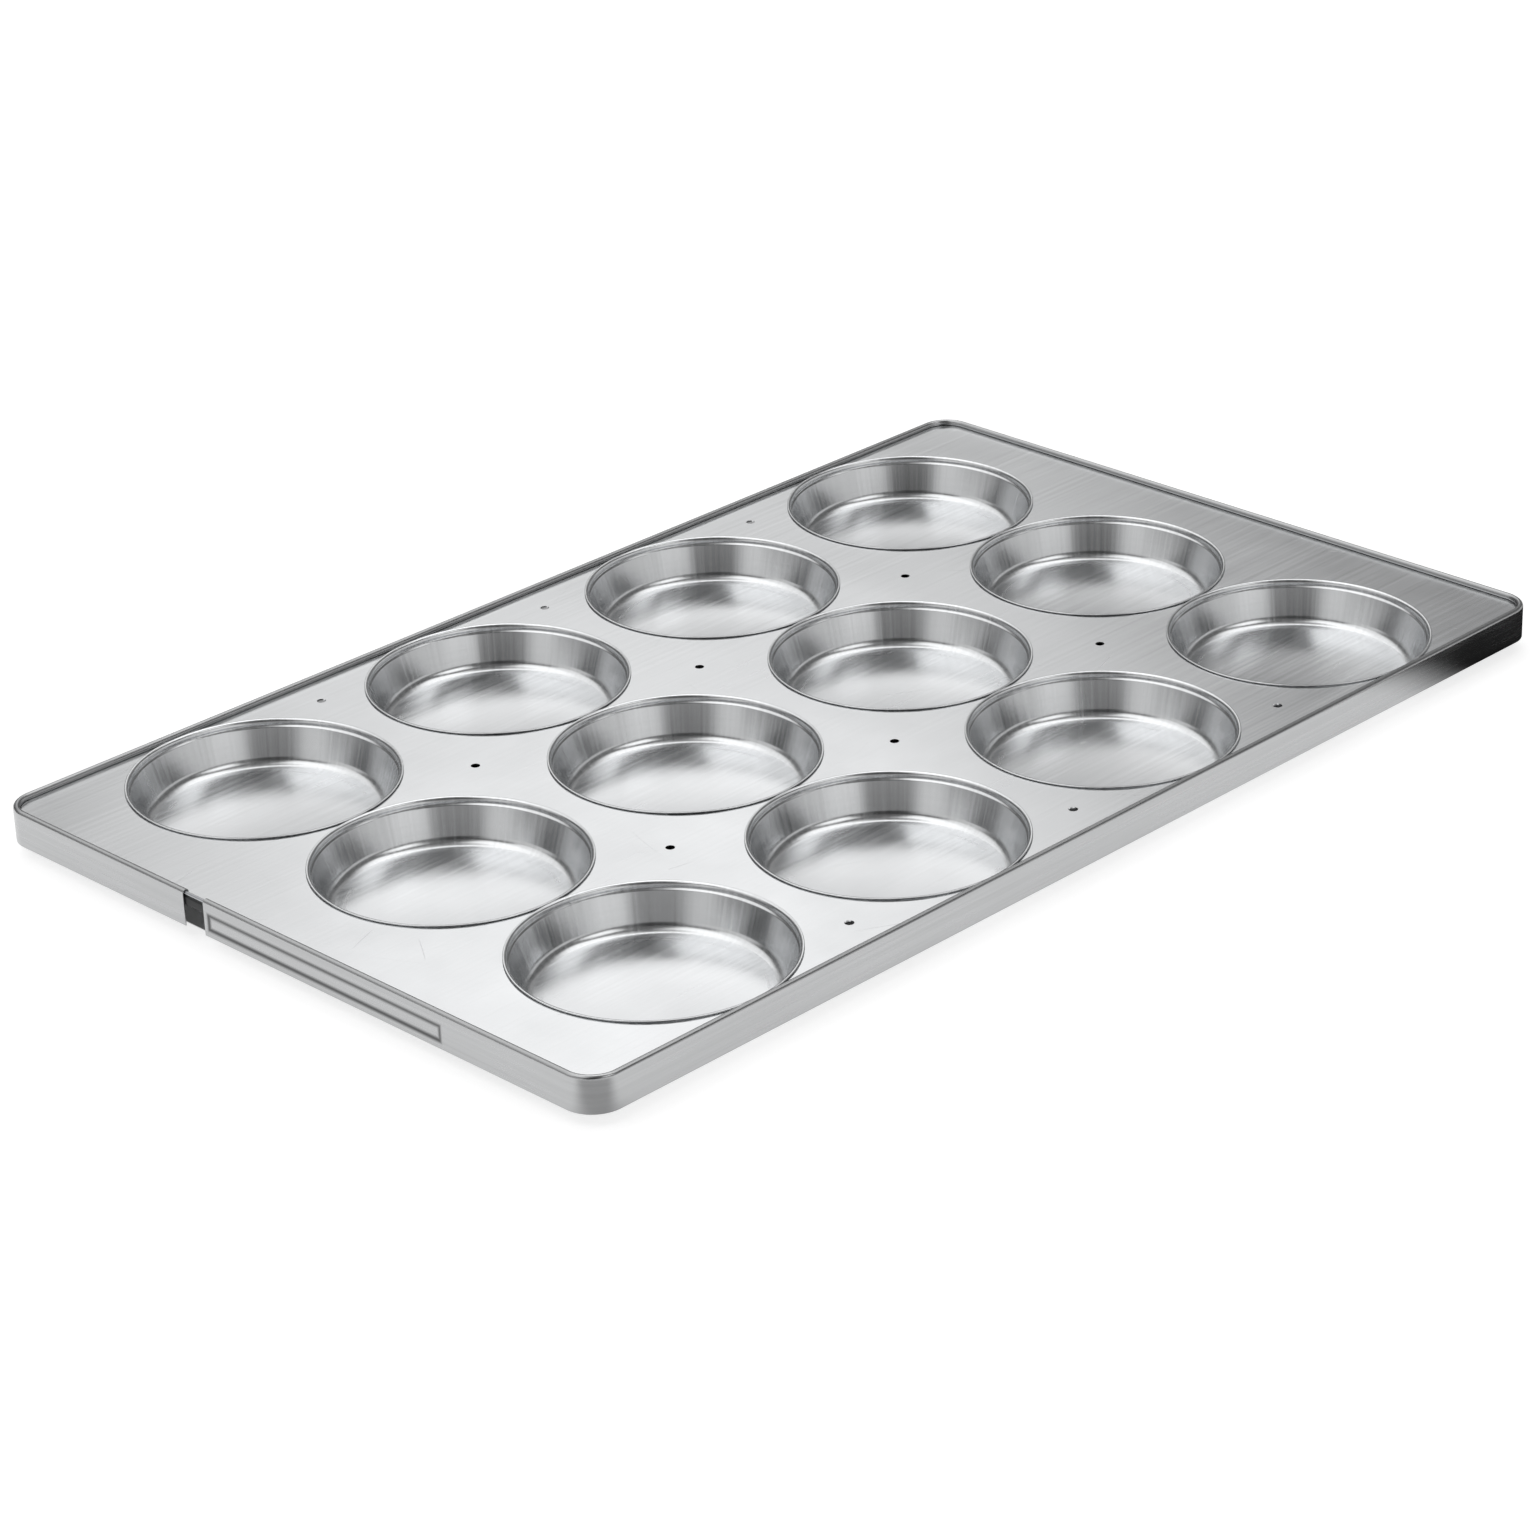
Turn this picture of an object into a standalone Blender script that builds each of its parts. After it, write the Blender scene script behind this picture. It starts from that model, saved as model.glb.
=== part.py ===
"""Bun pan: twelve drawn moulds locked in a deck sheet, with a rim band rolled over a wire.

Metres, +Z up. The pan stands on its mould floors at z = 0, centred on the Z axis, with its
long side along X. The open joint of the rim band is on the -X end.
"""
import math

import bmesh
import bpy
from mathutils import Vector

# Moulds, in columns along X and rows along Y
MOULD_COLUMNS = 4
MOULD_ROWS = 3
MOUTH_DIAMETER = 0.127
MOULD_DEPTH = 0.0205
WALL_DRAFT = math.radians(17.5)
FLOOR_FILLET = 0.006
MOULD_SHEET = 0.0006
LIP_ROUNDING = 0.0014
LIP_OVERLAP = 0.0009
LOCK_BEAD_HEIGHT = 0.002
LOCK_BEAD_OVERLAP = 0.0006

# Spaces left between the moulds and the rim
LIP_GAP = 0.0004
COLUMN_SPACE = 0.0177
END_SPACE = 0.0336
SIDE_SPACE = 0.0003

# Deck sheet, with its edge turned down inside the rim band
DECK_SHEET = 0.0006
DECK_BEND = 0.0012
DECK_FLANGE = 0.0045
HOLE_DIAMETER = 0.0045
EDGE_HOLE_INSET = 0.0195

# Rim band and wire
BAND_SHEET = 0.0006
WIRE_DIAMETER = 0.0016
SKIRT_DROP = 0.015
CORNER_RADIUS = 0.025
JOINT_WIDTH = 0.011
JOINT_FROM_CENTRE = 0.0595

# Play between pieces that touch on the real pan
SEAT_GAP = 0.0003

# Facets of the round forms
MOULD_SIDES = 26
FLOOR_STEPS = 2
LIP_STEPS = 2
HOLE_SIDES = 10
WIRE_SIDES = 6
CORNER_STEPS = 6
BEND_STEPS = 3
ROLL_STEPS = 5
CREASE_ANGLE = math.radians(50)

# Sizes that follow from the ones above
DECK_TOP = MOULD_DEPTH + MOULD_SHEET
WALL_ACROSS = MOULD_SHEET / math.cos(WALL_DRAFT)
OPENING_RADIUS = MOUTH_DIAMETER / 2 + WALL_ACROSS + SEAT_GAP
LIP_RADIUS = OPENING_RADIUS + LIP_OVERLAP
ROW_PITCH = 2 * LIP_RADIUS + LIP_GAP
COLUMN_PITCH = 2 * LIP_RADIUS + COLUMN_SPACE
ROLL_INSIDE = WIRE_DIAMETER / 2 + SEAT_GAP
ROLL_OUTSIDE = ROLL_INSIDE + BAND_SHEET
HALF_LENGTH = (MOULD_COLUMNS - 1) * COLUMN_PITCH / 2 + LIP_RADIUS + END_SPACE + 2 * ROLL_OUTSIDE
HALF_WIDTH = (MOULD_ROWS - 1) * ROW_PITCH / 2 + LIP_RADIUS + SIDE_SPACE + 2 * ROLL_OUTSIDE


def clear_scene():
    """Remove whatever the file holds before the pan is built."""
    for item in list(bpy.data.objects):
        bpy.data.objects.remove(item, do_unlink=True)


def steel(name, colour, roughness):
    """Bare metal of one colour and polish."""
    material = bpy.data.materials.new(name)
    material.use_nodes = True
    shader = material.node_tree.nodes["Principled BSDF"]
    shader.inputs["Base Color"].default_value = (*colour, 1.0)
    shader.inputs["Metallic"].default_value = 1.0
    shader.inputs["Roughness"].default_value = roughness
    material.diffuse_color = (*colour, 1.0)
    return material


def arc(centre, radius, start, end, steps):
    """Points on an arc in a section, with angles in radians from the first axis."""
    turn = (end - start) / steps
    angles = [start + turn * step for step in range(steps + 1)]
    across, up = centre
    return [(across + radius * math.cos(a), up + radius * math.sin(a)) for a in angles]


def fillet(before, corner, after, radius, steps):
    """Points of the arc that rounds one corner of a section."""
    corner = Vector(corner)
    back = (Vector(before) - corner).normalized()
    ahead = (Vector(after) - corner).normalized()
    half_angle = back.angle(ahead) / 2
    centre = corner + (back + ahead).normalized() * radius / math.sin(half_angle)
    from_centre = corner + back * radius / math.tan(half_angle) - centre
    to_centre = corner + ahead * radius / math.tan(half_angle) - centre
    turn = from_centre.angle_signed(to_centre)
    start = math.atan2(from_centre.y, from_centre.x)
    return arc(centre, radius, start, start - turn, steps)


def circle(centre, radius, height, sides):
    """A level ring of points, the first one towards +Y."""
    angles = [math.pi / 2 + math.tau * side / sides for side in range(sides)]
    x, y = centre
    return [(x + radius * math.cos(a), y + radius * math.sin(a), height) for a in angles]


def corner_stations():
    """Stations round the pan's corners, counterclockwise from the -X -Y corner.

    Each is the centre that a corner turns about and the direction out of it.
    """
    across = HALF_LENGTH - CORNER_RADIUS
    along = HALF_WIDTH - CORNER_RADIUS
    centres = [(-across, -along), (across, -along), (across, along), (-across, along)]
    stations = []
    for quarter, centre in enumerate(centres):
        first = math.pi + quarter * math.pi / 2
        for step in range(CORNER_STEPS + 1):
            angle = first + step * math.pi / 2 / CORNER_STEPS
            stations.append((Vector(centre), Vector((math.cos(angle), math.sin(angle)))))
    return stations


def joint_station(y):
    """Station on the straight -X end at the given y."""
    return Vector((CORNER_RADIUS - HALF_LENGTH, y)), Vector((-1.0, 0.0))


def rim_point(station, inset, height):
    """Point at a station, set in from the rim's outer face."""
    centre, outward = station
    level = centre + outward * (CORNER_RADIUS - inset)
    return (level.x, level.y, height)


def add_shell(mesh, rings, closed=False):
    """Join rings of points into one solid, with its ends capped unless it closes on itself."""
    loops = [[mesh.verts.new(point) for point in ring] for ring in rings]
    pairs = list(zip(loops, loops[1:]))
    if closed:
        pairs.append((loops[-1], loops[0]))
    else:
        mesh.faces.new(loops[0])
        mesh.faces.new(loops[-1])
    for near, far in pairs:
        for side in range(len(near)):
            after = (side + 1) % len(near)
            mesh.faces.new((near[side], near[after], far[after], far[side]))


def finished_mesh(name, mesh):
    """Turn a bmesh into mesh data with its faces outward and its round forms smooth."""
    bmesh.ops.recalc_face_normals(mesh, faces=mesh.faces)
    data = bpy.data.meshes.new(name)
    mesh.to_mesh(data)
    mesh.free()
    data.shade_smooth()
    data.set_sharp_from_angle(angle=CREASE_ANGLE)
    return data


def place(name, data, parent, location=(0.0, 0.0, 0.0)):
    """Put mesh data in the scene as a named piece of the pan."""
    item = bpy.data.objects.new(name, data)
    item.location = location
    item.parent = parent
    bpy.context.scene.collection.objects.link(item)
    return item


def mould_places():
    """Row, column and centre of each mould; row 1 is at the +Y side and column 1 at the -X end."""
    for row in range(MOULD_ROWS):
        for column in range(MOULD_COLUMNS):
            x = (column - (MOULD_COLUMNS - 1) / 2) * COLUMN_PITCH
            y = ((MOULD_ROWS - 1) / 2 - row) * ROW_PITCH
            yield row + 1, column + 1, (x, y)


def hole_places():
    """Centres of the small holes between the moulds and beside the long edges."""
    edge = HALF_WIDTH - 2 * ROLL_OUTSIDE - EDGE_HOLE_INSET
    between = [(row - (MOULD_ROWS - 2) / 2) * ROW_PITCH for row in range(MOULD_ROWS - 1)]
    for column in range(MOULD_COLUMNS - 1):
        x = (column - (MOULD_COLUMNS - 2) / 2) * COLUMN_PITCH
        for y in (-edge, *between, edge):
            yield (x, y)


def mould_section():
    """Section of a mould from the edge of its floor up the inside, over the lip and down the outside."""
    def wall(height):
        return MOUTH_DIAMETER / 2 + (height - DECK_TOP) * math.tan(WALL_DRAFT)

    lip_under = DECK_TOP + SEAT_GAP
    lip_top = lip_under + MOULD_SHEET
    half_bead = LOCK_BEAD_HEIGHT / 2
    bead_top = DECK_TOP - DECK_SHEET - SEAT_GAP
    bead_middle = bead_top - half_bead
    bead_bottom = bead_middle - half_bead
    bead_radius = OPENING_RADIUS + LOCK_BEAD_OVERLAP
    bead_reach = bead_radius - wall(bead_middle)
    bead_sheet = MOULD_SHEET * math.hypot(bead_reach, half_bead) / half_bead

    floor_middle = (0.0, MOULD_SHEET)
    floor_edge = (wall(MOULD_SHEET), MOULD_SHEET)
    wall_end = (wall(bead_bottom), bead_bottom)
    inside = fillet(floor_middle, floor_edge, wall_end, FLOOR_FILLET, FLOOR_STEPS)
    inside.append(wall_end)
    inside.append((bead_radius - bead_sheet, bead_middle))
    inside.append((wall(bead_top), bead_top))
    inside += fillet(inside[-1], (wall(lip_top), lip_top), (LIP_RADIUS, lip_top), LIP_ROUNDING, LIP_STEPS)
    inside.append((LIP_RADIUS, lip_top))

    outside = [(LIP_RADIUS, lip_under), (wall(lip_under) + WALL_ACROSS, lip_under)]
    outside.append((wall(bead_top) + WALL_ACROSS, bead_top))
    outside.append((bead_radius, bead_middle))
    outside.append((wall(bead_bottom) + WALL_ACROSS, bead_bottom))
    outside += fillet(outside[-1], (wall(0.0) + WALL_ACROSS, 0.0), (0.0, 0.0),
                      FLOOR_FILLET + MOULD_SHEET, FLOOR_STEPS)
    return inside + outside


def make_moulds(parent):
    """Twelve drawn cups, each hung by its lip and locked by a bead under the deck."""
    shape = bmesh.new()
    rings = [circle((0.0, 0.0), radius, height, MOULD_SIDES) for radius, height in mould_section()]
    add_shell(shape, rings)
    data = finished_mesh("mould", shape)
    data.materials.append(steel("mould_steel", (0.80, 0.81, 0.82), 0.28))
    for row, column, (x, y) in mould_places():
        place(f"mould_row{row}_column{column}", data, parent, (x, y, 0.0))


def make_deck(parent):
    """Flat sheet with the mould openings and small holes, its edge bent down all round."""
    flange_face = BAND_SHEET + SEAT_GAP
    bend_middle = (flange_face + DECK_BEND, DECK_TOP - DECK_BEND)
    flange_end = DECK_TOP - DECK_FLANGE
    section = arc(bend_middle, DECK_BEND, math.pi / 2, math.pi, BEND_STEPS)
    section.append((flange_face, flange_end))
    section.append((flange_face + DECK_SHEET, flange_end))
    section += arc(bend_middle, DECK_BEND - DECK_SHEET, math.pi, math.pi / 2, BEND_STEPS - 1)
    stations = corner_stations()
    shape = bmesh.new()
    rings = [[rim_point(station, inset, height) for station in stations] for inset, height in section]
    add_shell(shape, rings)
    deck = place("deck_sheet", finished_mesh("deck_sheet", shape), parent)
    deck.data.materials.append(steel("deck_steel", (0.82, 0.83, 0.84), 0.30))

    cut_from = DECK_TOP - 2 * DECK_SHEET
    cut_to = DECK_TOP + DECK_SHEET
    openings = bmesh.new()
    for _, _, centre in mould_places():
        add_shell(openings, [circle(centre, OPENING_RADIUS, z, MOULD_SIDES) for z in (cut_from, cut_to)])
    for centre in hole_places():
        add_shell(openings, [circle(centre, HOLE_DIAMETER / 2, z, HOLE_SIDES) for z in (cut_from, cut_to)])
    cutter = place("deck_openings_cutter", finished_mesh("deck_openings_cutter", openings), parent)
    cutter.hide_render = True
    cutter.display_type = "WIRE"
    cut = deck.modifiers.new("openings", "BOOLEAN")
    cut.operation = "DIFFERENCE"
    cut.solver = "EXACT"
    cut.object = cutter


def make_rim_band(parent):
    """Strip on edge round the deck, rolled inward over the wire, with its two ends not quite meeting."""
    roll_middle = (ROLL_OUTSIDE, DECK_TOP + ROLL_INSIDE)
    roll_end = -math.asin((ROLL_INSIDE - SEAT_GAP) / ROLL_OUTSIDE)
    skirt_end = DECK_TOP - SKIRT_DROP
    section = [(BAND_SHEET, skirt_end), (0.0, skirt_end)]
    section += arc(roll_middle, ROLL_OUTSIDE, math.pi, roll_end, ROLL_STEPS)
    section += arc(roll_middle, ROLL_INSIDE, roll_end, math.pi, ROLL_STEPS)
    first = joint_station(JOINT_FROM_CENTRE - JOINT_WIDTH / 2)
    last = joint_station(JOINT_FROM_CENTRE + JOINT_WIDTH / 2)
    stations = [first, *corner_stations(), last]
    shape = bmesh.new()
    rings = [[rim_point(station, inset, height) for inset, height in section] for station in stations]
    add_shell(shape, rings)
    band = place("rim_band", finished_mesh("rim_band", shape), parent)
    band.data.materials.append(steel("band_steel", (0.76, 0.77, 0.78), 0.32))


def make_rim_wire(parent):
    """Round wire, welded into a ring, that lies on the deck's edge inside the roll of the band."""
    middle = (ROLL_OUTSIDE, DECK_TOP + ROLL_INSIDE)
    section = arc(middle, WIRE_DIAMETER / 2, 0.0, math.tau, WIRE_SIDES)[:-1]
    stations = corner_stations()
    shape = bmesh.new()
    rings = [[rim_point(station, inset, height) for inset, height in section] for station in stations]
    add_shell(shape, rings, closed=True)
    wire = place("rim_wire", finished_mesh("rim_wire", shape), parent)
    wire.data.materials.append(steel("wire_steel", (0.62, 0.63, 0.65), 0.40))


clear_scene()
pan = place("bun_pan", None, None)
make_moulds(pan)
make_deck(pan)
make_rim_band(pan)
make_rim_wire(pan)
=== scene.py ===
"""Looks of a bun pan: twelve drawn steel moulds locked in a deck sheet, with a rim rolled over a wire."""

import math

import bmesh
import bpy
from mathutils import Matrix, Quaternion, Vector


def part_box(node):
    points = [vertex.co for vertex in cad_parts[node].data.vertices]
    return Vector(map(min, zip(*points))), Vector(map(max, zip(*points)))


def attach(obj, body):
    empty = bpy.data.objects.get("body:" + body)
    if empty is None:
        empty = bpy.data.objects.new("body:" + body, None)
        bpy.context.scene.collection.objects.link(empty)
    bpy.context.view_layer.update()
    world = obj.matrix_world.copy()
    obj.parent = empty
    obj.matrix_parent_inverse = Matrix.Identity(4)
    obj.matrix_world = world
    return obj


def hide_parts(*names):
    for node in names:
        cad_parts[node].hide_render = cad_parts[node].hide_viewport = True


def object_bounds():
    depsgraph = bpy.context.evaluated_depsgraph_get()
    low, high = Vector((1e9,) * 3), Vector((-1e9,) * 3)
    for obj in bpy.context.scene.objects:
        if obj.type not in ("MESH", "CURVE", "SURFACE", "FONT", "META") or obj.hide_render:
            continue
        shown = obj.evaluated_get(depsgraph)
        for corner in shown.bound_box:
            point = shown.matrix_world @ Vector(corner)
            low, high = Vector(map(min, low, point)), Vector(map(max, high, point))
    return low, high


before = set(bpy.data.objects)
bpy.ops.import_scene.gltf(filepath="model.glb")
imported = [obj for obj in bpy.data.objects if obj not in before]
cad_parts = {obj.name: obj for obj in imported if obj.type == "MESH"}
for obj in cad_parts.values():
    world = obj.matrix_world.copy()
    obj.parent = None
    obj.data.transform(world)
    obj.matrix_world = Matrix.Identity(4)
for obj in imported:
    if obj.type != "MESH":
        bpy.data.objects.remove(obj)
cad_low, cad_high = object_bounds()
scene = bpy.context.scene

# Camera
# A long lens well above the deck, aimed along the pan's diagonal from its nearest corner and turned a little
# out of level.
LENS = 105.42
SENSOR = 36.0
NEAR_CLIP = 0.05
CAMERA_PLACE = Vector((-1.3933, -1.3908, 0.9281))
LOOK_HEADING = math.radians(44.64)
LOOK_DOWN = math.radians(25.55)
CAMERA_ROLL = math.radians(-1.99)

camera_data = bpy.data.cameras.new("camera")
camera_data.lens = LENS
camera_data.sensor_width = SENSOR
camera_data.clip_start = NEAR_CLIP
camera = bpy.data.objects.new("camera", camera_data)
scene.collection.objects.link(camera)
look = Vector((math.sin(LOOK_HEADING) * math.cos(LOOK_DOWN),
               math.cos(LOOK_HEADING) * math.cos(LOOK_DOWN),
               -math.sin(LOOK_DOWN)))
camera.location = CAMERA_PLACE
camera.rotation_mode = "QUATERNION"
camera.rotation_quaternion = look.to_track_quat("-Z", "Y") @ Quaternion((0, 0, 1), CAMERA_ROLL)
scene.camera = camera

# Moulds
# Twelve shallow cups, each drawn from bright coated sheet steel. A rounded lip hangs each one on the deck,
# and a bead rolled in its wall under the deck locks it there.
COLUMNS = 4
ROWS = 3
MOUTH_RADIUS = 0.0635
WALL_DRAFT = math.radians(17.5)
CUP_SHEET = 0.0006
FLOOR_FILLET = 0.006
LIP_ROUNDING = 0.0014
LIP_EDGE_ROUNDING = 0.00025
LIP_OVERLAP = 0.0009
BEAD_HEIGHT = 0.002
BEAD_OVERLAP = 0.0006
BEAD_ROUNDING = 0.0006
SEAT_GAP = 0.0003
CUP_SIDES = 128
CUP_CORNER_STEPS = 6
CREASE = math.radians(40)
WELD_REACH = 1e-6


def add(tree, kind, feed=None, **options):
    """Add a node with its options, its inputs fed by name or number from sockets or plain values."""
    node = tree.nodes.new(kind)
    for option, value in options.items():
        setattr(node, option, value)
    for key, source in (feed or {}).items():
        if isinstance(source, bpy.types.NodeSocket):
            tree.links.new(source, node.inputs[key])
        else:
            node.inputs[key].default_value = source
    return node


def geometry_tree(name, **inputs):
    """A node tree from geometry to geometry, with its further inputs named by socket type."""
    tree = bpy.data.node_groups.new(name, "GeometryNodeTree")
    tree.interface.new_socket("Geometry", in_out="INPUT", socket_type="NodeSocketGeometry")
    for label, kind in inputs.items():
        tree.interface.new_socket(label, in_out="INPUT", socket_type="NodeSocket" + kind)
    tree.interface.new_socket("Geometry", in_out="OUTPUT", socket_type="NodeSocketGeometry")
    return tree, add(tree, "NodeGroupInput").outputs


def end_tree(tree, shape, finish):
    """Make the shape real, give it its finish and hand it on."""
    real = add(tree, "GeometryNodeRealizeInstances", {"Geometry": shape})
    painted = add(tree, "GeometryNodeSetMaterial",
                  {"Geometry": real.outputs["Geometry"], "Material": finish})
    add(tree, "NodeGroupOutput", {0: painted.outputs["Geometry"]})
    return tree


def rounded(tree, line, steps):
    """A line with each of its corners rounded by the radius that the corner carries."""
    radius = add(tree, "GeometryNodeInputRadius")
    corners = {"Curve": line, "Count": steps, "Radius": radius.outputs["Radius"]}
    return add(tree, "GeometryNodeFilletCurve", corners, mode="POLY").outputs["Curve"]


def outline(name, corners, closed=False):
    """A guide line through corners, each given as its place and the radius that rounds it."""
    data = bpy.data.curves.new(name, "CURVE")
    data.dimensions = "3D"
    spline = data.splines.new("POLY")
    spline.points.add(len(corners) - 1)
    spline.use_cyclic_u = closed
    for point, (place, rounding) in zip(spline.points, corners):
        point.co = (*place, 0.0, 1.0)
        point.radius = rounding
    guide = bpy.data.objects.new(name, data)
    scene.collection.objects.link(guide)
    return guide


def grown(name, base, tree, **inputs):
    """The plain mesh that a tree makes from a base object, with the tree's inputs given by name."""
    modifier = base.modifiers.new("shape", "NODES")
    modifier.node_group = tree
    for socket in tree.interface.items_tree:
        if socket.in_out == "INPUT" and socket.name in inputs:
            modifier[socket.identifier] = inputs[socket.name]
    base.update_tag()
    bpy.context.view_layer.update()
    evaluated = base.evaluated_get(bpy.context.evaluated_depsgraph_get())
    mesh = bpy.data.meshes.new_from_object(evaluated)
    mesh.name = name
    base.modifiers.remove(modifier)
    piece = bpy.data.objects.new(name, mesh)
    scene.collection.objects.link(piece)
    return piece


def closed_up(piece, fill=False):
    """Weld a piece's seams, fill the open rings where asked, and turn its faces out."""
    shape = bmesh.new()
    shape.from_mesh(piece.data)
    bmesh.ops.remove_doubles(shape, verts=shape.verts, dist=WELD_REACH)
    if fill:
        bmesh.ops.holes_fill(shape, edges=[edge for edge in shape.edges if edge.is_boundary])
    bmesh.ops.recalc_face_normals(shape, faces=shape.faces)
    shape.to_mesh(piece.data)
    shape.free()
    piece.data.shade_smooth()
    piece.data.set_sharp_from_angle(angle=CREASE)
    return piece


def fit(piece, slot, *stood_for):
    """Let a finished piece ride on the pan in place of the CAD nodes that it shows."""
    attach(piece, "root")
    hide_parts(*stood_for)


deck_low, deck_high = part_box("deck_sheet")
deck_top = deck_high.z


def wall_radius(height):
    """Distance of a cup's inner wall from its axis."""
    return MOUTH_RADIUS + (height - deck_top) * math.tan(WALL_DRAFT)


wall_across = CUP_SHEET / math.cos(WALL_DRAFT)
opening_radius = MOUTH_RADIUS + wall_across + SEAT_GAP
lip_reach = opening_radius + LIP_OVERLAP
lip_under = deck_top + SEAT_GAP
lip_top = lip_under + CUP_SHEET
bead_top = deck_top - CUP_SHEET - SEAT_GAP
bead_middle = bead_top - BEAD_HEIGHT / 2
bead_bottom = bead_top - BEAD_HEIGHT
bead_reach = opening_radius + BEAD_OVERLAP
cup_section = outline("cup_section", [
    ((0.0, CUP_SHEET), 0.0),
    ((wall_radius(CUP_SHEET), CUP_SHEET), FLOOR_FILLET),
    ((wall_radius(bead_bottom), bead_bottom), BEAD_ROUNDING),
    ((bead_reach - 2 * CUP_SHEET, bead_middle), BEAD_ROUNDING),
    ((wall_radius(bead_top), bead_top), BEAD_ROUNDING / 2),
    ((wall_radius(lip_top), lip_top), LIP_ROUNDING),
    ((lip_reach, lip_top), LIP_EDGE_ROUNDING),
    ((lip_reach, lip_under), LIP_EDGE_ROUNDING),
    ((wall_radius(lip_under) + wall_across, lip_under), LIP_EDGE_ROUNDING),
    ((wall_radius(bead_top) + wall_across, bead_top), LIP_EDGE_ROUNDING),
    ((bead_reach, bead_middle), BEAD_ROUNDING),
    ((wall_radius(bead_bottom) + wall_across, bead_bottom), BEAD_ROUNDING),
    ((wall_radius(0.0) + wall_across, 0.0), FLOOR_FILLET + CUP_SHEET),
    ((0.0, 0.0), 0.0),
])

turned, given = geometry_tree("turned", Sides="Int", Steps="Int", Reach="Float", Place="Vector",
                              Finish="Material")
inward = add(turned, "ShaderNodeVectorMath", {0: (-1.0, 0.0, 0.0), "Scale": given["Reach"]},
             operation="SCALE").outputs["Vector"]
laid = add(turned, "GeometryNodeTransform",
           {"Geometry": rounded(turned, given["Geometry"], given["Steps"]),
            "Scale": (1.0, -1.0, 1.0), "Translation": inward})
circle = add(turned, "GeometryNodeCurvePrimitiveCircle",
             {"Resolution": given["Sides"], "Radius": given["Reach"]})
skin = add(turned, "GeometryNodeCurveToMesh",
           {"Curve": circle.outputs["Curve"], "Profile Curve": laid.outputs["Geometry"]})
placed = add(turned, "GeometryNodeTransform",
             {"Geometry": skin.outputs["Mesh"], "Translation": given["Place"]})
end_tree(turned, placed.outputs["Geometry"], given["Finish"])


def shader_tree(name, inputs, outputs):
    """A group of shader nodes, with its inputs and outputs named by socket type."""
    tree = bpy.data.node_groups.new(name, "ShaderNodeTree")
    for side, sockets in (("INPUT", inputs), ("OUTPUT", outputs)):
        for label, kind in sockets.items():
            tree.interface.new_socket(label, in_out=side, socket_type="NodeSocket" + kind)
    return tree, add(tree, "NodeGroupInput").outputs


def maths(tree, operation, *values):
    """One step of arithmetic on sockets or plain values."""
    return add(tree, "ShaderNodeMath", dict(enumerate(values)), operation=operation).outputs["Value"]


def vectors(tree, operation, *values):
    """One step of arithmetic on vectors."""
    return add(tree, "ShaderNodeVectorMath", dict(enumerate(values)), operation=operation).outputs["Vector"]


def eased(tree, value, start, end):
    """Ease from 0 to 1 while the value goes from start to end."""
    return add(tree, "ShaderNodeMapRange", {"Value": value, "From Min": start, "From Max": end},
               interpolation_type="SMOOTHSTEP").outputs["Result"]


def noise(tree, place, scale, detail):
    """Soft random values about one half."""
    return add(tree, "ShaderNodeTexNoise",
               {"Vector": place, "Scale": scale, "Detail": detail}).outputs["Fac"]


def drift(tree, value, random, share):
    """A value moved by a share of how far the random value lies from one half."""
    return maths(tree, "MULTIPLY_ADD", maths(tree, "SUBTRACT", random, 0.5), share, value)


def scaled(tree, vector, factor):
    """A vector or colour times a number."""
    return add(tree, "ShaderNodeVectorMath", {0: vector, "Scale": factor},
               operation="SCALE").outputs["Vector"]


def blended(tree, share, first, second):
    """Pass from the first value to the second as the share goes from 0 to 1."""
    return add(tree, "ShaderNodeMix", {"Factor": share, "A": first, "B": second}).outputs["Result"]


# The finish that all pieces share: streaks of grain, soft clouds, a slight wave and a few thin curved marks.
FINE_DETAIL = 3.0
CLOUDS_PER_METRE = 24.0
WAVES_PER_METRE = 9.0
GRAIN_TINT = 0.28
CLOUD_TINT = 0.10
GRAIN_MATT = 0.16
CLOUD_MATT = 0.16
WAVE_HEIGHT = 4e-4
GRAIN_HEIGHT = 9e-6
MARK_SIZES = ((21.0, 0.020), (37.0, 0.012))
MARK_BOW = 2.0
MARK_EDGE = 3.5e-4
MARK_CORE = 1e-4
MARKS_ABOVE = 0.7
MARKS_FULL_AT = 1.3
MARK_TINT = -0.15
MARK_MATT = 0.15
worn_steel, given = shader_tree(
    "worn_steel",
    {"Place": "Vector", "Grain": "Vector", "Colour": "Color", "Roughness": "Float", "Wear": "Float"},
    {"Colour": "Color", "Roughness": "Float", "Height": "Float"})
place = given["Place"]
grain = noise(worn_steel, vectors(worn_steel, "MULTIPLY", place, given["Grain"]), 1.0, FINE_DETAIL)
cloud = noise(worn_steel, place, CLOUDS_PER_METRE, FINE_DETAIL)
wave = noise(worn_steel, place, WAVES_PER_METRE, detail=1.0)
marks = 0.0
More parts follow.
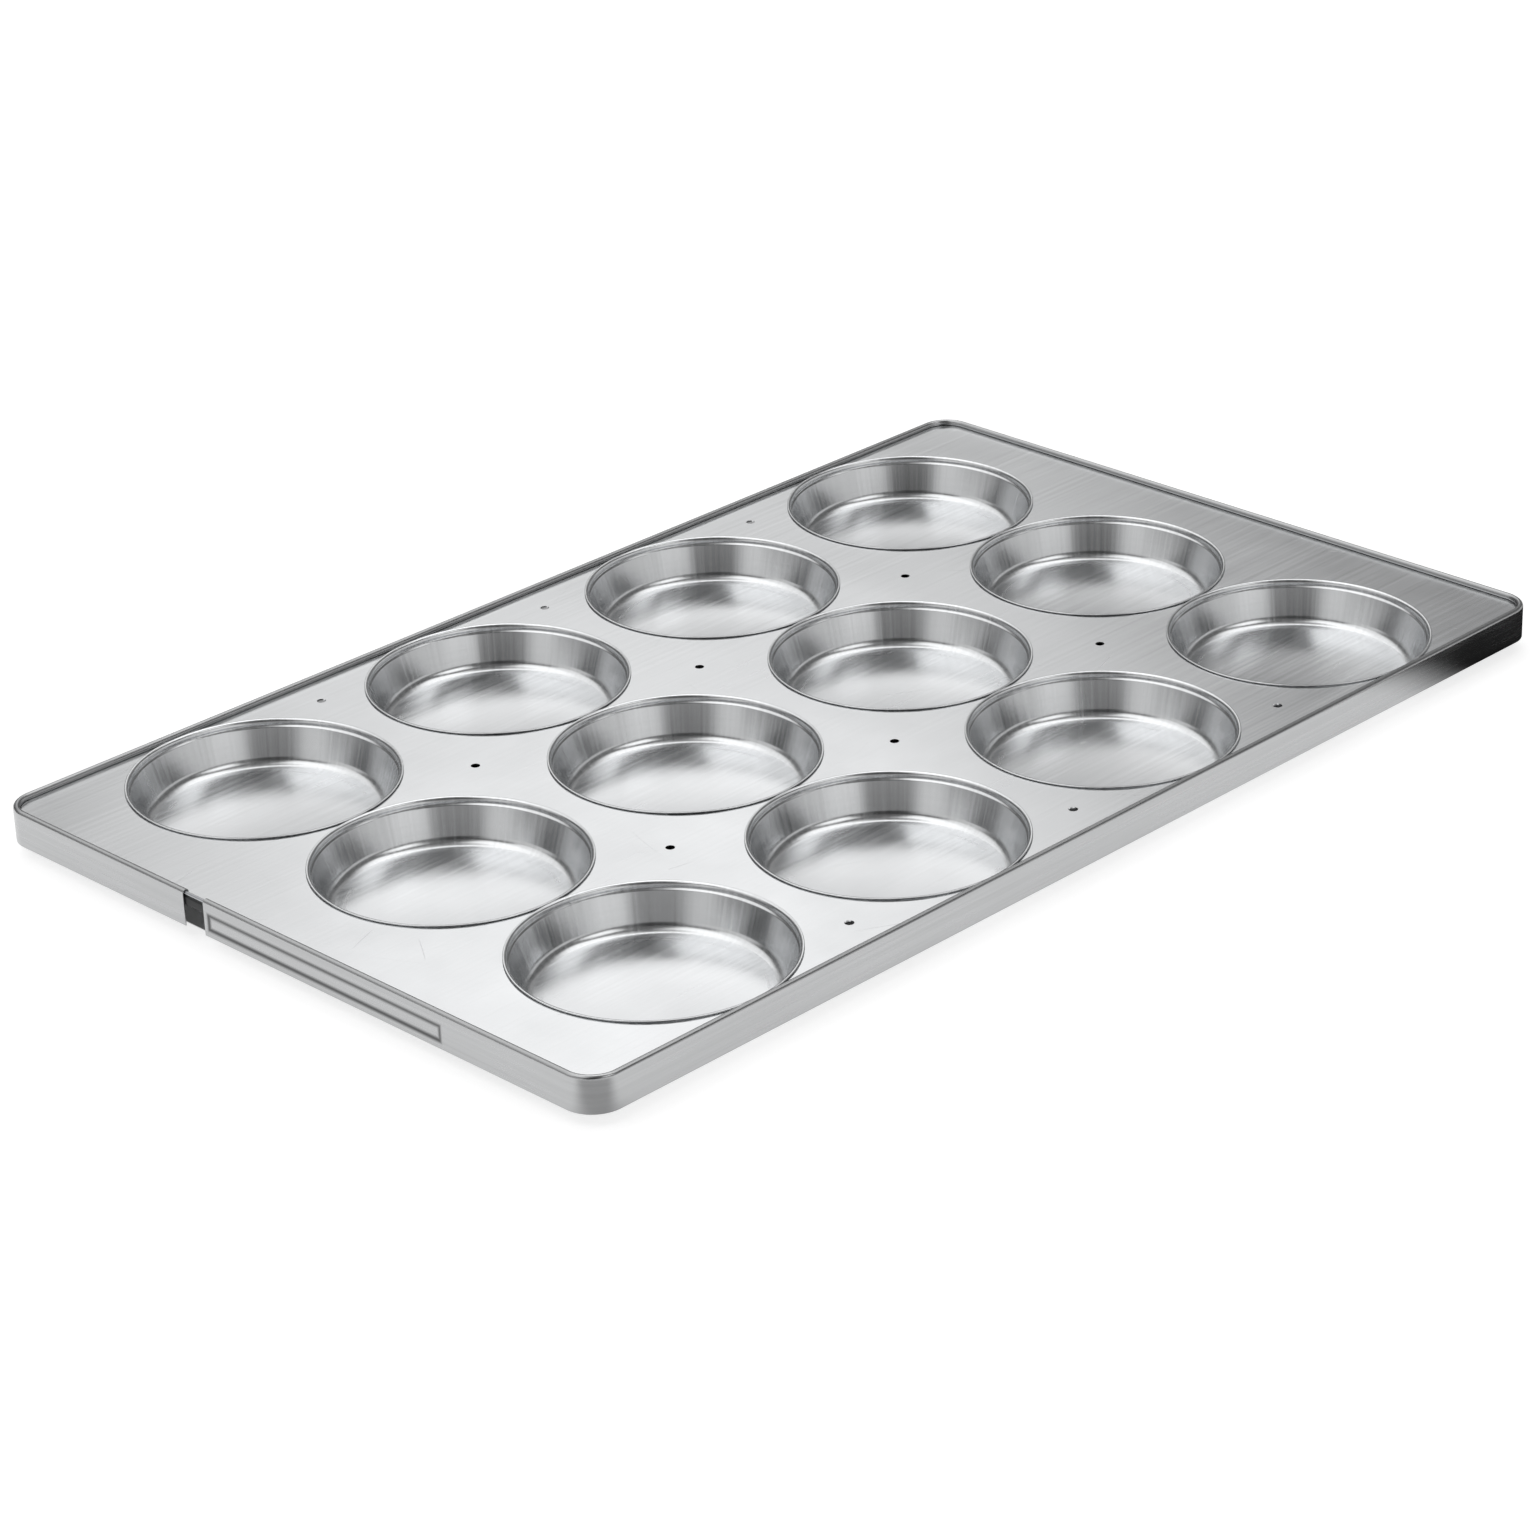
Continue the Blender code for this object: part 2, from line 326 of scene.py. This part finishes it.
for patches_per_metre, length in MARK_SIZES:
    patch = add(worn_steel, "ShaderNodeTexVoronoi", {"Vector": place, "Scale": patches_per_metre},
                voronoi_dimensions="2D").outputs
    chance = add(worn_steel, "ShaderNodeSeparateColor", {"Color": patch["Color"]}).outputs
    turned_aside = add(worn_steel, "ShaderNodeVectorRotate", {
        "Vector": vectors(worn_steel, "SUBTRACT", place, patch["Position"]),
        "Angle": maths(worn_steel, "MULTIPLY", chance["Red"], math.tau)}, rotation_type="Z_AXIS")
    stroke = add(worn_steel, "ShaderNodeSeparateXYZ", {"Vector": turned_aside.outputs["Vector"]}).outputs
    squared = maths(worn_steel, "MULTIPLY", stroke["X"], stroke["X"])
    bow = maths(worn_steel, "MULTIPLY_ADD", squared, MARK_BOW, stroke["Y"])
    thin = eased(worn_steel, maths(worn_steel, "ABSOLUTE", bow), MARK_EDGE, MARK_CORE)
    short = eased(worn_steel, maths(worn_steel, "ABSOLUTE", stroke["X"]), length, length / 3)
    picked = eased(worn_steel, chance["Green"], MARKS_ABOVE, MARKS_FULL_AT)
    picked = maths(worn_steel, "MULTIPLY", picked, given["Wear"])
    mark = maths(worn_steel, "MULTIPLY", maths(worn_steel, "MULTIPLY", thin, short), picked)
    marks = maths(worn_steel, "MAXIMUM", mark, marks)
tint = drift(worn_steel, drift(worn_steel, 1.0, grain, GRAIN_TINT), cloud, CLOUD_TINT)
tint = maths(worn_steel, "MULTIPLY_ADD", marks, MARK_TINT, tint)
matt = drift(worn_steel, drift(worn_steel, given["Roughness"], grain, GRAIN_MATT), cloud, CLOUD_MATT)
matt = maths(worn_steel, "MULTIPLY_ADD", marks, MARK_MATT, matt)
relief = maths(worn_steel, "MULTIPLY", wave, WAVE_HEIGHT)
relief = maths(worn_steel, "MULTIPLY_ADD", grain, GRAIN_HEIGHT, relief)
add(worn_steel, "NodeGroupOutput", {"Colour": scaled(worn_steel, given["Colour"], tint),
                                    "Roughness": matt, "Height": relief})


def bare_metal(name):
    """A metal to be dressed, its tree, and where each point of it lies on the pan."""
    material = bpy.data.materials.new(name)
    material.use_nodes = True
    tree = material.node_tree
    tree.nodes["Principled BSDF"].inputs["Metallic"].default_value = 1.0
    return material, tree, add(tree, "ShaderNodeTexCoord").outputs["Object"]


def worn(tree, place, grain, colour, roughness, wear=0.0):
    """Coated steel. Its grain is given in streaks per metre along each axis."""
    return add(tree, "ShaderNodeGroup", {"Place": place, "Grain": grain, "Colour": (*colour, 1.0),
                                         "Roughness": roughness, "Wear": wear}, node_tree=worn_steel).outputs


def dress(tree, colour, roughness, height):
    """Give a metal its colour, its roughness and its relief in metres."""
    shader = tree.nodes["Principled BSDF"]
    bump = add(tree, "ShaderNodeBump", {"Height": height, "Distance": 1.0})
    tree.links.new(colour, shader.inputs["Base Color"])
    tree.links.new(roughness, shader.inputs["Roughness"])
    tree.links.new(bump.outputs["Normal"], shader.inputs["Normal"])


# A cup's floor keeps the grain of the flat sheet, its wall has the streaks and rings of drawing, and stacking
# has rubbed a ring on the floor.
CUP_COLOUR = (0.80, 0.81, 0.82)
CUP_ROUGHNESS = 0.22
CUP_FLOOR_GRAIN = (8.0, 450.0, 450.0)
CUP_FLOOR_WEAR = 0.6
CUP_WALL_GRAIN = (520.0, 520.0, 9.0)
FLAT_RADIUS = 0.0525
WALL_FROM = 0.0565
DRAW_RINGS_PER_METRE = 900.0
DRAW_RING_TINT = 0.10
RUB_RADIUS = 0.0495
RUB_HALF_WIDTH = 0.0014
RUBS_PER_METRE = 40.0
RUB_FROM = 0.4
RUB_FULL_AT = 0.6
RUB_TINT = -0.07
RUB_MATT = 0.07
column_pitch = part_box("mould_row1_column2")[1].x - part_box("mould_row1_column1")[1].x
row_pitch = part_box("mould_row1_column1")[1].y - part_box("mould_row2_column1")[1].y
cup_steel, tree, place = bare_metal("cup_steel")
axes = add(tree, "ShaderNodeSeparateXYZ", {"Vector": place}).outputs
own_x = maths(tree, "SUBTRACT", maths(tree, "WRAP", axes["X"], column_pitch, 0.0), column_pitch / 2)
own_y = maths(tree, "WRAP", axes["Y"], row_pitch / 2, -row_pitch / 2)
own = add(tree, "ShaderNodeCombineXYZ", {"X": own_x, "Y": own_y}).outputs["Vector"]
out = add(tree, "ShaderNodeVectorMath", {0: own}, operation="LENGTH").outputs["Value"]
round_wall = scaled(tree, vectors(tree, "NORMALIZE", own), MOUTH_RADIUS)
on_wall = vectors(tree, "ADD", vectors(tree, "SUBTRACT", place, own), round_wall)
flat = worn(tree, place, CUP_FLOOR_GRAIN, CUP_COLOUR, CUP_ROUGHNESS, CUP_FLOOR_WEAR)
drawn = worn(tree, on_wall, CUP_WALL_GRAIN, CUP_COLOUR, CUP_ROUGHNESS)
share = eased(tree, out, FLAT_RADIUS, WALL_FROM)
roughness = blended(tree, share, flat["Roughness"], drawn["Roughness"])
relief = blended(tree, share, flat["Height"], drawn["Height"])
# A mix node's colour sockets share their names with its plain ones, so they go by position.
colour = add(tree, "ShaderNodeMix", {"Factor": share, 6: flat["Colour"], 7: drawn["Colour"]},
             data_type="RGBA").outputs[2]
by_height = add(tree, "ShaderNodeCombineXYZ", {"X": axes["Z"]}).outputs["Vector"]
rings = drift(tree, 0.0, noise(tree, by_height, DRAW_RINGS_PER_METRE, detail=2.0), share)
from_rub = maths(tree, "ABSOLUTE", maths(tree, "SUBTRACT", out, RUB_RADIUS))
rubbed = maths(tree, "MULTIPLY", eased(tree, from_rub, RUB_HALF_WIDTH, 0.0),
               eased(tree, noise(tree, place, RUBS_PER_METRE, detail=2.0), RUB_FROM, RUB_FULL_AT))
tint = maths(tree, "MULTIPLY_ADD", rubbed, RUB_TINT, 1.0)
tint = maths(tree, "MULTIPLY_ADD", rings, DRAW_RING_TINT, tint)
dress(tree, scaled(tree, colour, tint), maths(tree, "MULTIPLY_ADD", rubbed, RUB_MATT, roughness), relief)

for row in range(1, ROWS + 1):
    for column in range(1, COLUMNS + 1):
        node = f"mould_row{row}_column{column}"
        low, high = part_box(node)
        middle = (low + high) / 2
        cup = grown(f"cup_row{row}_column{column}", cup_section, turned,
                    Sides=CUP_SIDES, Steps=CUP_CORNER_STEPS, Reach=lip_reach,
                    Place=(middle.x, middle.y, 0.0), Finish=cup_steel)
        fit(closed_up(cup), "mould_steel", node)
bpy.data.objects.remove(cup_section)

# Deck sheet
# One flat sheet of the same steel, punched with the twelve openings and twelve small round holes,
# its edge bent down inside the rim band.
DECK_SHEET = 0.0006
DECK_BEND = 0.0012
DECK_MARGIN = 0.004
DECK_EDGE_WIDTH = 0.0035
PAN_CORNER = 0.016
BAND_SHEET = 0.0006
SMALL_HOLE_RADIUS = 0.00225
EDGE_HOLE_INSET = 0.0229
SMALL_HOLE_SIDES = 24
PAN_CORNER_STEPS = 24
SHEET_CORNER_STEPS = 5
EDGE_ROUNDING = 0.0001
DECK_COLOUR = (0.82, 0.83, 0.84)
DECK_ROUGHNESS = 0.22
DECK_GRAIN = (7.0, 420.0, 420.0)
DECK_WEAR = 1.0
# Painted shade at the deck's edge: how dark it is and how much rougher.
EDGE_SHADE_TINT = -0.94
EDGE_SHADE_MATT = 0.2
PUNCH_DEPTH = 4 * DECK_SHEET

swept, given = geometry_tree("swept", Rail="Object", RailSteps="Int", Steps="Int", Finish="Material")
rail = add(swept, "GeometryNodeObjectInfo", {"Object": given["Rail"]})
laid = add(swept, "GeometryNodeTransform", {"Geometry": rounded(swept, given["Geometry"], given["Steps"]),
                                            "Scale": (-1.0, -1.0, 1.0)})
strip = add(swept, "GeometryNodeCurveToMesh",
            {"Curve": rounded(swept, rail.outputs["Geometry"], given["RailSteps"]),
             "Profile Curve": laid.outputs["Geometry"], "Fill Caps": True})
end_tree(swept, strip.outputs["Mesh"], given["Finish"])

corners = [((side_x * cad_high.x, side_y * cad_high.y), PAN_CORNER)
           for side_x, side_y in ((-1, -1), (1, -1), (1, 1), (-1, 1))]
whole_rail = outline("whole_rail", corners, closed=True)
flange_face = BAND_SHEET + SEAT_GAP
deck_section = outline("deck_section", [
    ((DECK_MARGIN, deck_top), 0.0),
    ((flange_face, deck_top), DECK_BEND),
    ((flange_face, deck_low.z), EDGE_ROUNDING),
    ((flange_face + DECK_SHEET, deck_low.z), EDGE_ROUNDING),
    ((flange_face + DECK_SHEET, deck_top - DECK_SHEET), DECK_BEND - DECK_SHEET),
    ((DECK_MARGIN, deck_top - DECK_SHEET), 0.0),
])


def beyond(tree, place, half, middle=(0.0, 0.0)):
    """How far a point lies outside an oblong, below zero inside it."""
    axes = add(tree, "ShaderNodeSeparateXYZ", {"Vector": place}).outputs
    off = [maths(tree, "ABSOLUTE", maths(tree, "SUBTRACT", axes[axis], centre))
           for axis, centre in zip("XY", middle)]
    past = [maths(tree, "SUBTRACT", away, reach) for away, reach in zip(off, half)]
    return maths(tree, "MAXIMUM", *past)


deck_steel, tree, place = bare_metal("deck_steel")
dressed = worn(tree, place, DECK_GRAIN, DECK_COLOUR, DECK_ROUGHNESS, DECK_WEAR)
# Painted shade: the deck is darkened almost to black from a few millimetres inside its edge and over its
# bent-down flange, standing in for the shade in the crevice under the band's roll and inside the band's
# joint. The same mask raises the roughness there.
edge_shade = eased(tree, beyond(tree, place, cad_high.xy), -DECK_EDGE_WIDTH, -flange_face)
dress(tree, scaled(tree, dressed["Colour"], maths(tree, "MULTIPLY_ADD", edge_shade, EDGE_SHADE_TINT, 1.0)),
      maths(tree, "MULTIPLY_ADD", edge_shade, EDGE_SHADE_MATT, dressed["Roughness"]), dressed["Height"])
blank = closed_up(grown("deck_blank", deck_section, swept, Rail=whole_rail, RailSteps=PAN_CORNER_STEPS,
                        Steps=SHEET_CORNER_STEPS, Finish=deck_steel), fill=True)

punched, given = geometry_tree("punched", Columns="Int", Rows="Int", SpanX="Float", SpanY="Float",
                               Radius="Float", Sides="Int", Height="Float", Finish="Material")
grid = add(punched, "GeometryNodeMeshGrid", {"Size X": given["SpanX"], "Size Y": given["SpanY"],
                                             "Vertices X": given["Columns"], "Vertices Y": given["Rows"]})
punch = add(punched, "GeometryNodeMeshCylinder", {"Vertices": given["Sides"], "Radius": given["Radius"],
                                                  "Depth": PUNCH_DEPTH})
level = add(punched, "ShaderNodeCombineXYZ", {"Z": given["Height"]})
raised = add(punched, "GeometryNodeTransform", {"Geometry": punch.outputs["Mesh"],
                                                "Translation": level.outputs["Vector"]})
spread = add(punched, "GeometryNodeInstanceOnPoints", {"Points": grid.outputs["Mesh"],
                                                       "Instance": raised.outputs["Geometry"]})
punches = add(punched, "GeometryNodeRealizeInstances", {"Geometry": spread.outputs["Instances"]})
cut = add(punched, "GeometryNodeMeshBoolean", {"Mesh 1": given["Geometry"],
                                               "Mesh 2": punches.outputs["Geometry"]}, solver="EXACT")
end_tree(punched, cut.outputs["Mesh"], given["Finish"])

edge_holes = cad_high.y - EDGE_HOLE_INSET
deck = blank
for name, columns, rows, span_x, span_y, radius, sides in (
        ("deck_with_openings", COLUMNS, ROWS,
         (COLUMNS - 1) * column_pitch, (ROWS - 1) * row_pitch, opening_radius, CUP_SIDES),
        ("deck_with_inner_holes", COLUMNS - 1, ROWS - 1,
         (COLUMNS - 2) * column_pitch, (ROWS - 2) * row_pitch, SMALL_HOLE_RADIUS, SMALL_HOLE_SIDES),
        ("deck", COLUMNS - 1, 2,
         (COLUMNS - 2) * column_pitch, 2 * edge_holes, SMALL_HOLE_RADIUS, SMALL_HOLE_SIDES)):
    whole = deck
    deck = grown(name, whole, punched, Columns=columns, Rows=rows, SpanX=span_x, SpanY=span_y,
                 Radius=radius, Sides=sides, Height=deck_top - DECK_SHEET / 2, Finish=deck_steel)
    bpy.data.objects.remove(whole)
fit(closed_up(deck), "deck_steel", "deck_sheet")

# Rim band
# A strip of the same steel wrapped on edge round the deck and rolled inward over the wire. Its two ends
# don't quite meet, near the middle of the pan's -X end.
ROLL_INSIDE = 0.0011
SKIRT_DROP = 0.015
JOINT_LOW = 0.0505
JOINT_HIGH = 0.0645
ROLL_STEPS = 16
PANEL_FROM = -0.107
PANEL_TO = 0.048
PANEL_HEIGHT = 0.0085
PANEL_MIDDLE = 0.0135
PANEL_DEPTH = 0.0003
PANEL_SLOPE = 0.0016
PANEL_STEPS = 8
# Painted shade: the band's steel is given a much darker colour than the deck's, standing in for the dimmer
# light that its upright skirt reflects.
SHADED_BAND_COLOUR = (0.48, 0.485, 0.49)
BAND_ROUGHNESS = 0.26
BAND_GRAIN = (8.0, 8.0, 760.0)
# Painted shade along the pressed panel's edges: its reach, how dark it is and how much rougher.
PANEL_SHADE_REACH = 1.2 * PANEL_SLOPE
PANEL_SHADE_TINT = -0.75
PANEL_SHADE_MATT = 0.15

roll_outside = ROLL_INSIDE + BAND_SHEET
roll_height = cad_high.z - roll_outside
skirt_end = deck_top - SKIRT_DROP
roll_end = -math.asin((ROLL_INSIDE - SEAT_GAP) / roll_outside)


def roll(radius, start, end):
    """Points round the band's roll."""
    turns = [start + (end - start) * step / ROLL_STEPS for step in range(ROLL_STEPS + 1)]
    return [((roll_outside + radius * math.cos(a), roll_height + radius * math.sin(a)), 0.0) for a in turns]


def stops(start, end):
    """Even stops across one sloping edge of the pressed panel."""
    return [start + (end - start) * step / PANEL_STEPS for step in range(PANEL_STEPS + 1)]


panel_foot = PANEL_MIDDLE - PANEL_HEIGHT / 2
panel_head = PANEL_MIDDLE + PANEL_HEIGHT / 2
levels = stops(panel_foot, panel_foot + PANEL_SLOPE) + stops(panel_head - PANEL_SLOPE, panel_head)
band_section = outline("band_section", [
    ((BAND_SHEET, skirt_end), EDGE_ROUNDING),
    ((0.0, skirt_end), EDGE_ROUNDING),
    *[((0.0, level), 0.0) for level in levels],
    *roll(roll_outside, math.pi, roll_end),
    *roll(ROLL_INSIDE, roll_end, math.pi),
    *[((BAND_SHEET, level), 0.0) for level in reversed(levels)],
], closed=True)
ends = stops(PANEL_TO, PANEL_TO - PANEL_SLOPE) + stops(PANEL_FROM + PANEL_SLOPE, PANEL_FROM)
open_rail = outline("open_rail", [
    ((-cad_high.x, JOINT_LOW), 0.0),
    *[((-cad_high.x, y), 0.0) for y in ends],
    *corners,
    ((-cad_high.x, JOINT_HIGH), 0.0),
])
band_steel, tree, place = bare_metal("band_steel")
dressed = worn(tree, place, BAND_GRAIN, SHADED_BAND_COLOUR, BAND_ROUGHNESS)
axes = add(tree, "ShaderNodeSeparateXYZ", {"Vector": place}).outputs
along = maths(tree, "ABSOLUTE", maths(tree, "SUBTRACT", axes["Y"], (PANEL_FROM + PANEL_TO) / 2))
along = maths(tree, "SUBTRACT", along, (PANEL_TO - PANEL_FROM) / 2)
across = maths(tree, "ABSOLUTE", maths(tree, "SUBTRACT", axes["Z"], PANEL_MIDDLE))
across = maths(tree, "SUBTRACT", across, PANEL_HEIGHT / 2)
inside_edge = maths(tree, "ADD", maths(tree, "MAXIMUM", along, across), PANEL_SLOPE / 2)
# Painted shade: thin dark lines round the edges of the pressed panel, on the outer face of the band's -X end
# only, standing in for the shade at the panel's edges. The same mask raises the roughness there.
panel_edge_shade = maths(tree, "MULTIPLY", eased(tree, maths(tree, "ABSOLUTE", inside_edge), PANEL_SHADE_REACH, 0.0),
                eased(tree, axes["X"], PANEL_SLOPE - cad_high.x, -cad_high.x))
dress(tree, scaled(tree, dressed["Colour"], maths(tree, "MULTIPLY_ADD", panel_edge_shade, PANEL_SHADE_TINT, 1.0)),
      maths(tree, "MULTIPLY_ADD", panel_edge_shade, PANEL_SHADE_MATT, dressed["Roughness"]), dressed["Height"])
rim = grown("rolled_rim", band_section, swept, Rail=open_rail, RailSteps=PAN_CORNER_STEPS,
            Steps=SHEET_CORNER_STEPS, Finish=band_steel)


def smooth(share):
    """Ease from 0 to 1."""
    share = min(1.0, max(0.0, share))
    return share * share * (3 - 2 * share)


for vertex in rim.data.vertices:
    x, y, z = vertex.co
    if x < cad_low.x + 2 * BAND_SHEET:
        along = min(y - PANEL_FROM, PANEL_TO - y)
        across = PANEL_HEIGHT / 2 - abs(z - PANEL_MIDDLE)
        vertex.co.x += PANEL_DEPTH * smooth(along / PANEL_SLOPE) * smooth(across / PANEL_SLOPE)
fit(closed_up(rim), "band_steel", "rim_band")

# Rim wire
# Round steel wire, bent to the outline of the pan and welded into a ring. It stiffens the rim from inside
# the roll of the band and shows only at the joint.
WIRE_RADIUS = 0.0008
WIRE_STEPS = 6
WIRE_COLOUR = (0.50, 0.51, 0.53)
WIRE_ROUGHNESS = 0.36
WIRE_GRAIN = (9.0, 9.0, 900.0)

wire_section = outline("wire_section", [
    ((roll_outside + side_x * WIRE_RADIUS, roll_height + side_z * WIRE_RADIUS), WIRE_RADIUS)
    for side_x, side_z in ((-1, -1), (1, -1), (1, 1), (-1, 1))], closed=True)
wire_steel, tree, place = bare_metal("wire_steel")
dressed = worn(tree, place, WIRE_GRAIN, WIRE_COLOUR, WIRE_ROUGHNESS)
dress(tree, dressed["Colour"], dressed["Roughness"], dressed["Height"])
wire = grown("core_wire", wire_section, swept, Rail=whole_rail, RailSteps=PAN_CORNER_STEPS,
             Steps=WIRE_STEPS, Finish=wire_steel)
fit(closed_up(wire), "wire_steel", "rim_wire")
for guide in (deck_section, band_section, wire_section, whole_rail, open_rail):
    bpy.data.objects.remove(guide)

# Floor
# A plain white sweep. What the camera and the bright steel see of it is lifted towards white and keeps the
# pan's shadow. Well under the pan nothing is lifted. Two flags of dark cloth lie beside the pan, where the
# steel alone sees them.
FLOOR_SIZE = 8.0
FLOOR_COLOUR = 0.55
FLOOR_ROUGHNESS = 0.9
FLOOR_LIFT = 0.76
SHADE_FROM_END = 0.0095
SHADE_FROM_SIDE = 0.0145
SHADE_EDGE = 0.001
FLAGS = {
    "beside the right corner":
        {"Middle": (0.37, -0.23), "Half": (0.085, 0.05), "Edge": 0.06, "Strength": 1.0},
    "before the near corner":
        {"Middle": (-0.375, -0.24), "Half": (0.055, 0.035), "Edge": 0.03, "Strength": 0.5},
}

floor_data = bpy.data.meshes.new("floor")
half = FLOOR_SIZE / 2
floor_data.from_pydata([(-half, -half, 0), (half, -half, 0), (half, half, 0), (-half, half, 0)],
                       [], [(0, 1, 2, 3)])
floor = bpy.data.objects.new("floor", floor_data)
scene.collection.objects.link(floor)
floor_paint = bpy.data.materials.new("floor_paint")
floor_paint.use_nodes = True
tree = floor_paint.node_tree
floor_shader = tree.nodes["Principled BSDF"]
floor_shader.inputs["Roughness"].default_value = FLOOR_ROUGHNESS
floor_shader.inputs["Emission Color"].default_value = (1.0, 1.0, 1.0, 1.0)
path = add(tree, "ShaderNodeLightPath").outputs
place = add(tree, "ShaderNodeTexCoord").outputs["Object"]
flagged = 0.0
for flag in FLAGS.values():
    shade = eased(tree, beyond(tree, place, flag["Half"], flag["Middle"]), flag["Edge"], 0.0)
    flagged = maths(tree, "MAXIMUM", maths(tree, "MULTIPLY", shade, flag["Strength"]), flagged)
clear = maths(tree, "SUBTRACT", 1.0, maths(tree, "MULTIPLY", flagged, path["Is Glossy Ray"]))
tree.links.new(maths(tree, "MULTIPLY", clear, FLOOR_COLOUR), floor_shader.inputs["Base Color"])
seen = maths(tree, "MAXIMUM", path["Is Camera Ray"], path["Is Glossy Ray"])
seen = maths(tree, "MAXIMUM", seen, path["Is Transmission Ray"])
shaded_half = (cad_high.x - SHADE_FROM_END, cad_high.y - SHADE_FROM_SIDE)
in_the_open = eased(tree, beyond(tree, place, shaded_half), -SHADE_EDGE, 0.0)
lift = maths(tree, "MULTIPLY", maths(tree, "MULTIPLY", seen, in_the_open), clear)
tree.links.new(maths(tree, "MULTIPLY", lift, FLOOR_LIFT), floor_shader.inputs["Emission Strength"])
floor_data.materials.append(floor_paint)

# Light
# A dim studio with soft white panels round the pan, and one patch that is darker than the rest. Each is
# given by where it stands as seen from the pan: headings run clockwise from the way the camera looks,
# heights up from the horizon, in degrees.
STUDIO_GREY = 0.12
PANELS = {
    "window beyond the pan":
        {"Heading": -2, "Reach": 7, "Low": 22.5, "High": 69, "Edge": 4, "Strength": 0.9},
    "wall beyond the pan":
        {"Heading": 0, "Reach": 30, "Low": 18, "High": 69, "Edge": 8, "Strength": 0.2},
    "bank overhead":
        {"Heading": -32, "Reach": 119, "Low": 49, "High": 75, "Edge": 6, "Strength": 1.15},
    "bank at the left":
        {"Heading": -65, "Reach": 52, "Low": 33, "High": 48, "Edge": 3, "Strength": 0.8},
    "card at the left":
        {"Heading": -118, "Reach": 36, "Low": 7, "High": 33, "Edge": 8, "Strength": 0.5},
    "card at the right":
        {"Heading": 103, "Reach": 57, "Low": 2, "High": 21, "Edge": 3, "Strength": 0.5},
    "glow behind the camera":
        {"Heading": 180, "Reach": 50, "Low": -3, "High": 14, "Edge": 4, "Strength": 0.22},
    "dark room behind the camera":
        {"Heading": 188, "Reach": 22, "Low": 20, "High": 46, "Edge": 4, "Strength": -0.08},
    "lamp behind the camera":
        {"Heading": 126, "Reach": 18, "Low": 32, "High": 57, "Edge": 5, "Strength": 1.2},
    "ceiling":
        {"Heading": -23, "Reach": 151, "Low": 71, "High": 82, "Edge": 9, "Strength": 0.4},
}

measures = ("Direction Heading", "Direction Height",
            "Heading", "Reach", "Low", "High", "Edge", "Strength")
panel, given = shader_tree("soft_panel", {label: "Float" for label in measures}, {"Light": "Float"})
off = maths(panel, "SUBTRACT", given["Direction Heading"], given["Heading"])
off = maths(panel, "ABSOLUTE", maths(panel, "WRAP", off, 180.0, -180.0))
light = eased(panel, off, maths(panel, "ADD", given["Reach"], given["Edge"]),
              maths(panel, "SUBTRACT", given["Reach"], given["Edge"]))
for side, bound in (("Low", 1.0), ("High", -1.0)):
    edge = maths(panel, "MULTIPLY", given["Edge"], bound)
    inside = eased(panel, given["Direction Height"], maths(panel, "SUBTRACT", given[side], edge),
                   maths(panel, "ADD", given[side], edge))
    light = maths(panel, "MULTIPLY", light, inside)
add(panel, "NodeGroupOutput", {"Light": maths(panel, "MULTIPLY", light, given["Strength"])})

world = bpy.data.worlds.new("studio")
world.use_nodes = True
scene.world = world
tree = world.node_tree
direction = add(tree, "ShaderNodeTexCoord").outputs["Generated"]
turned_round = add(tree, "ShaderNodeVectorRotate", {"Vector": direction, "Angle": LOOK_HEADING},
                   rotation_type="Z_AXIS").outputs["Vector"]
axes = add(tree, "ShaderNodeSeparateXYZ", {"Vector": turned_round}).outputs
heading = maths(tree, "DEGREES", maths(tree, "ARCTAN2", axes["X"], axes["Y"]))
height = maths(tree, "DEGREES", maths(tree, "ARCSINE", axes["Z"]))
total = STUDIO_GREY
for name, sizes in PANELS.items():
    seen_from = {"Direction Heading": heading, "Direction Height": height}
    lamp = add(tree, "ShaderNodeGroup", {**seen_from, **sizes}, node_tree=panel, label=name)
    total = maths(tree, "ADD", lamp.outputs["Light"], total)
seen = add(tree, "ShaderNodeLightPath").outputs["Is Camera Ray"]
tree.links.new(blended(tree, seen, total, 1.0), tree.nodes["Background"].inputs["Strength"])
tree.nodes["Background"].inputs["Color"].default_value = (1.0, 1.0, 1.0, 1.0)

scene.view_settings.view_transform = "Standard"
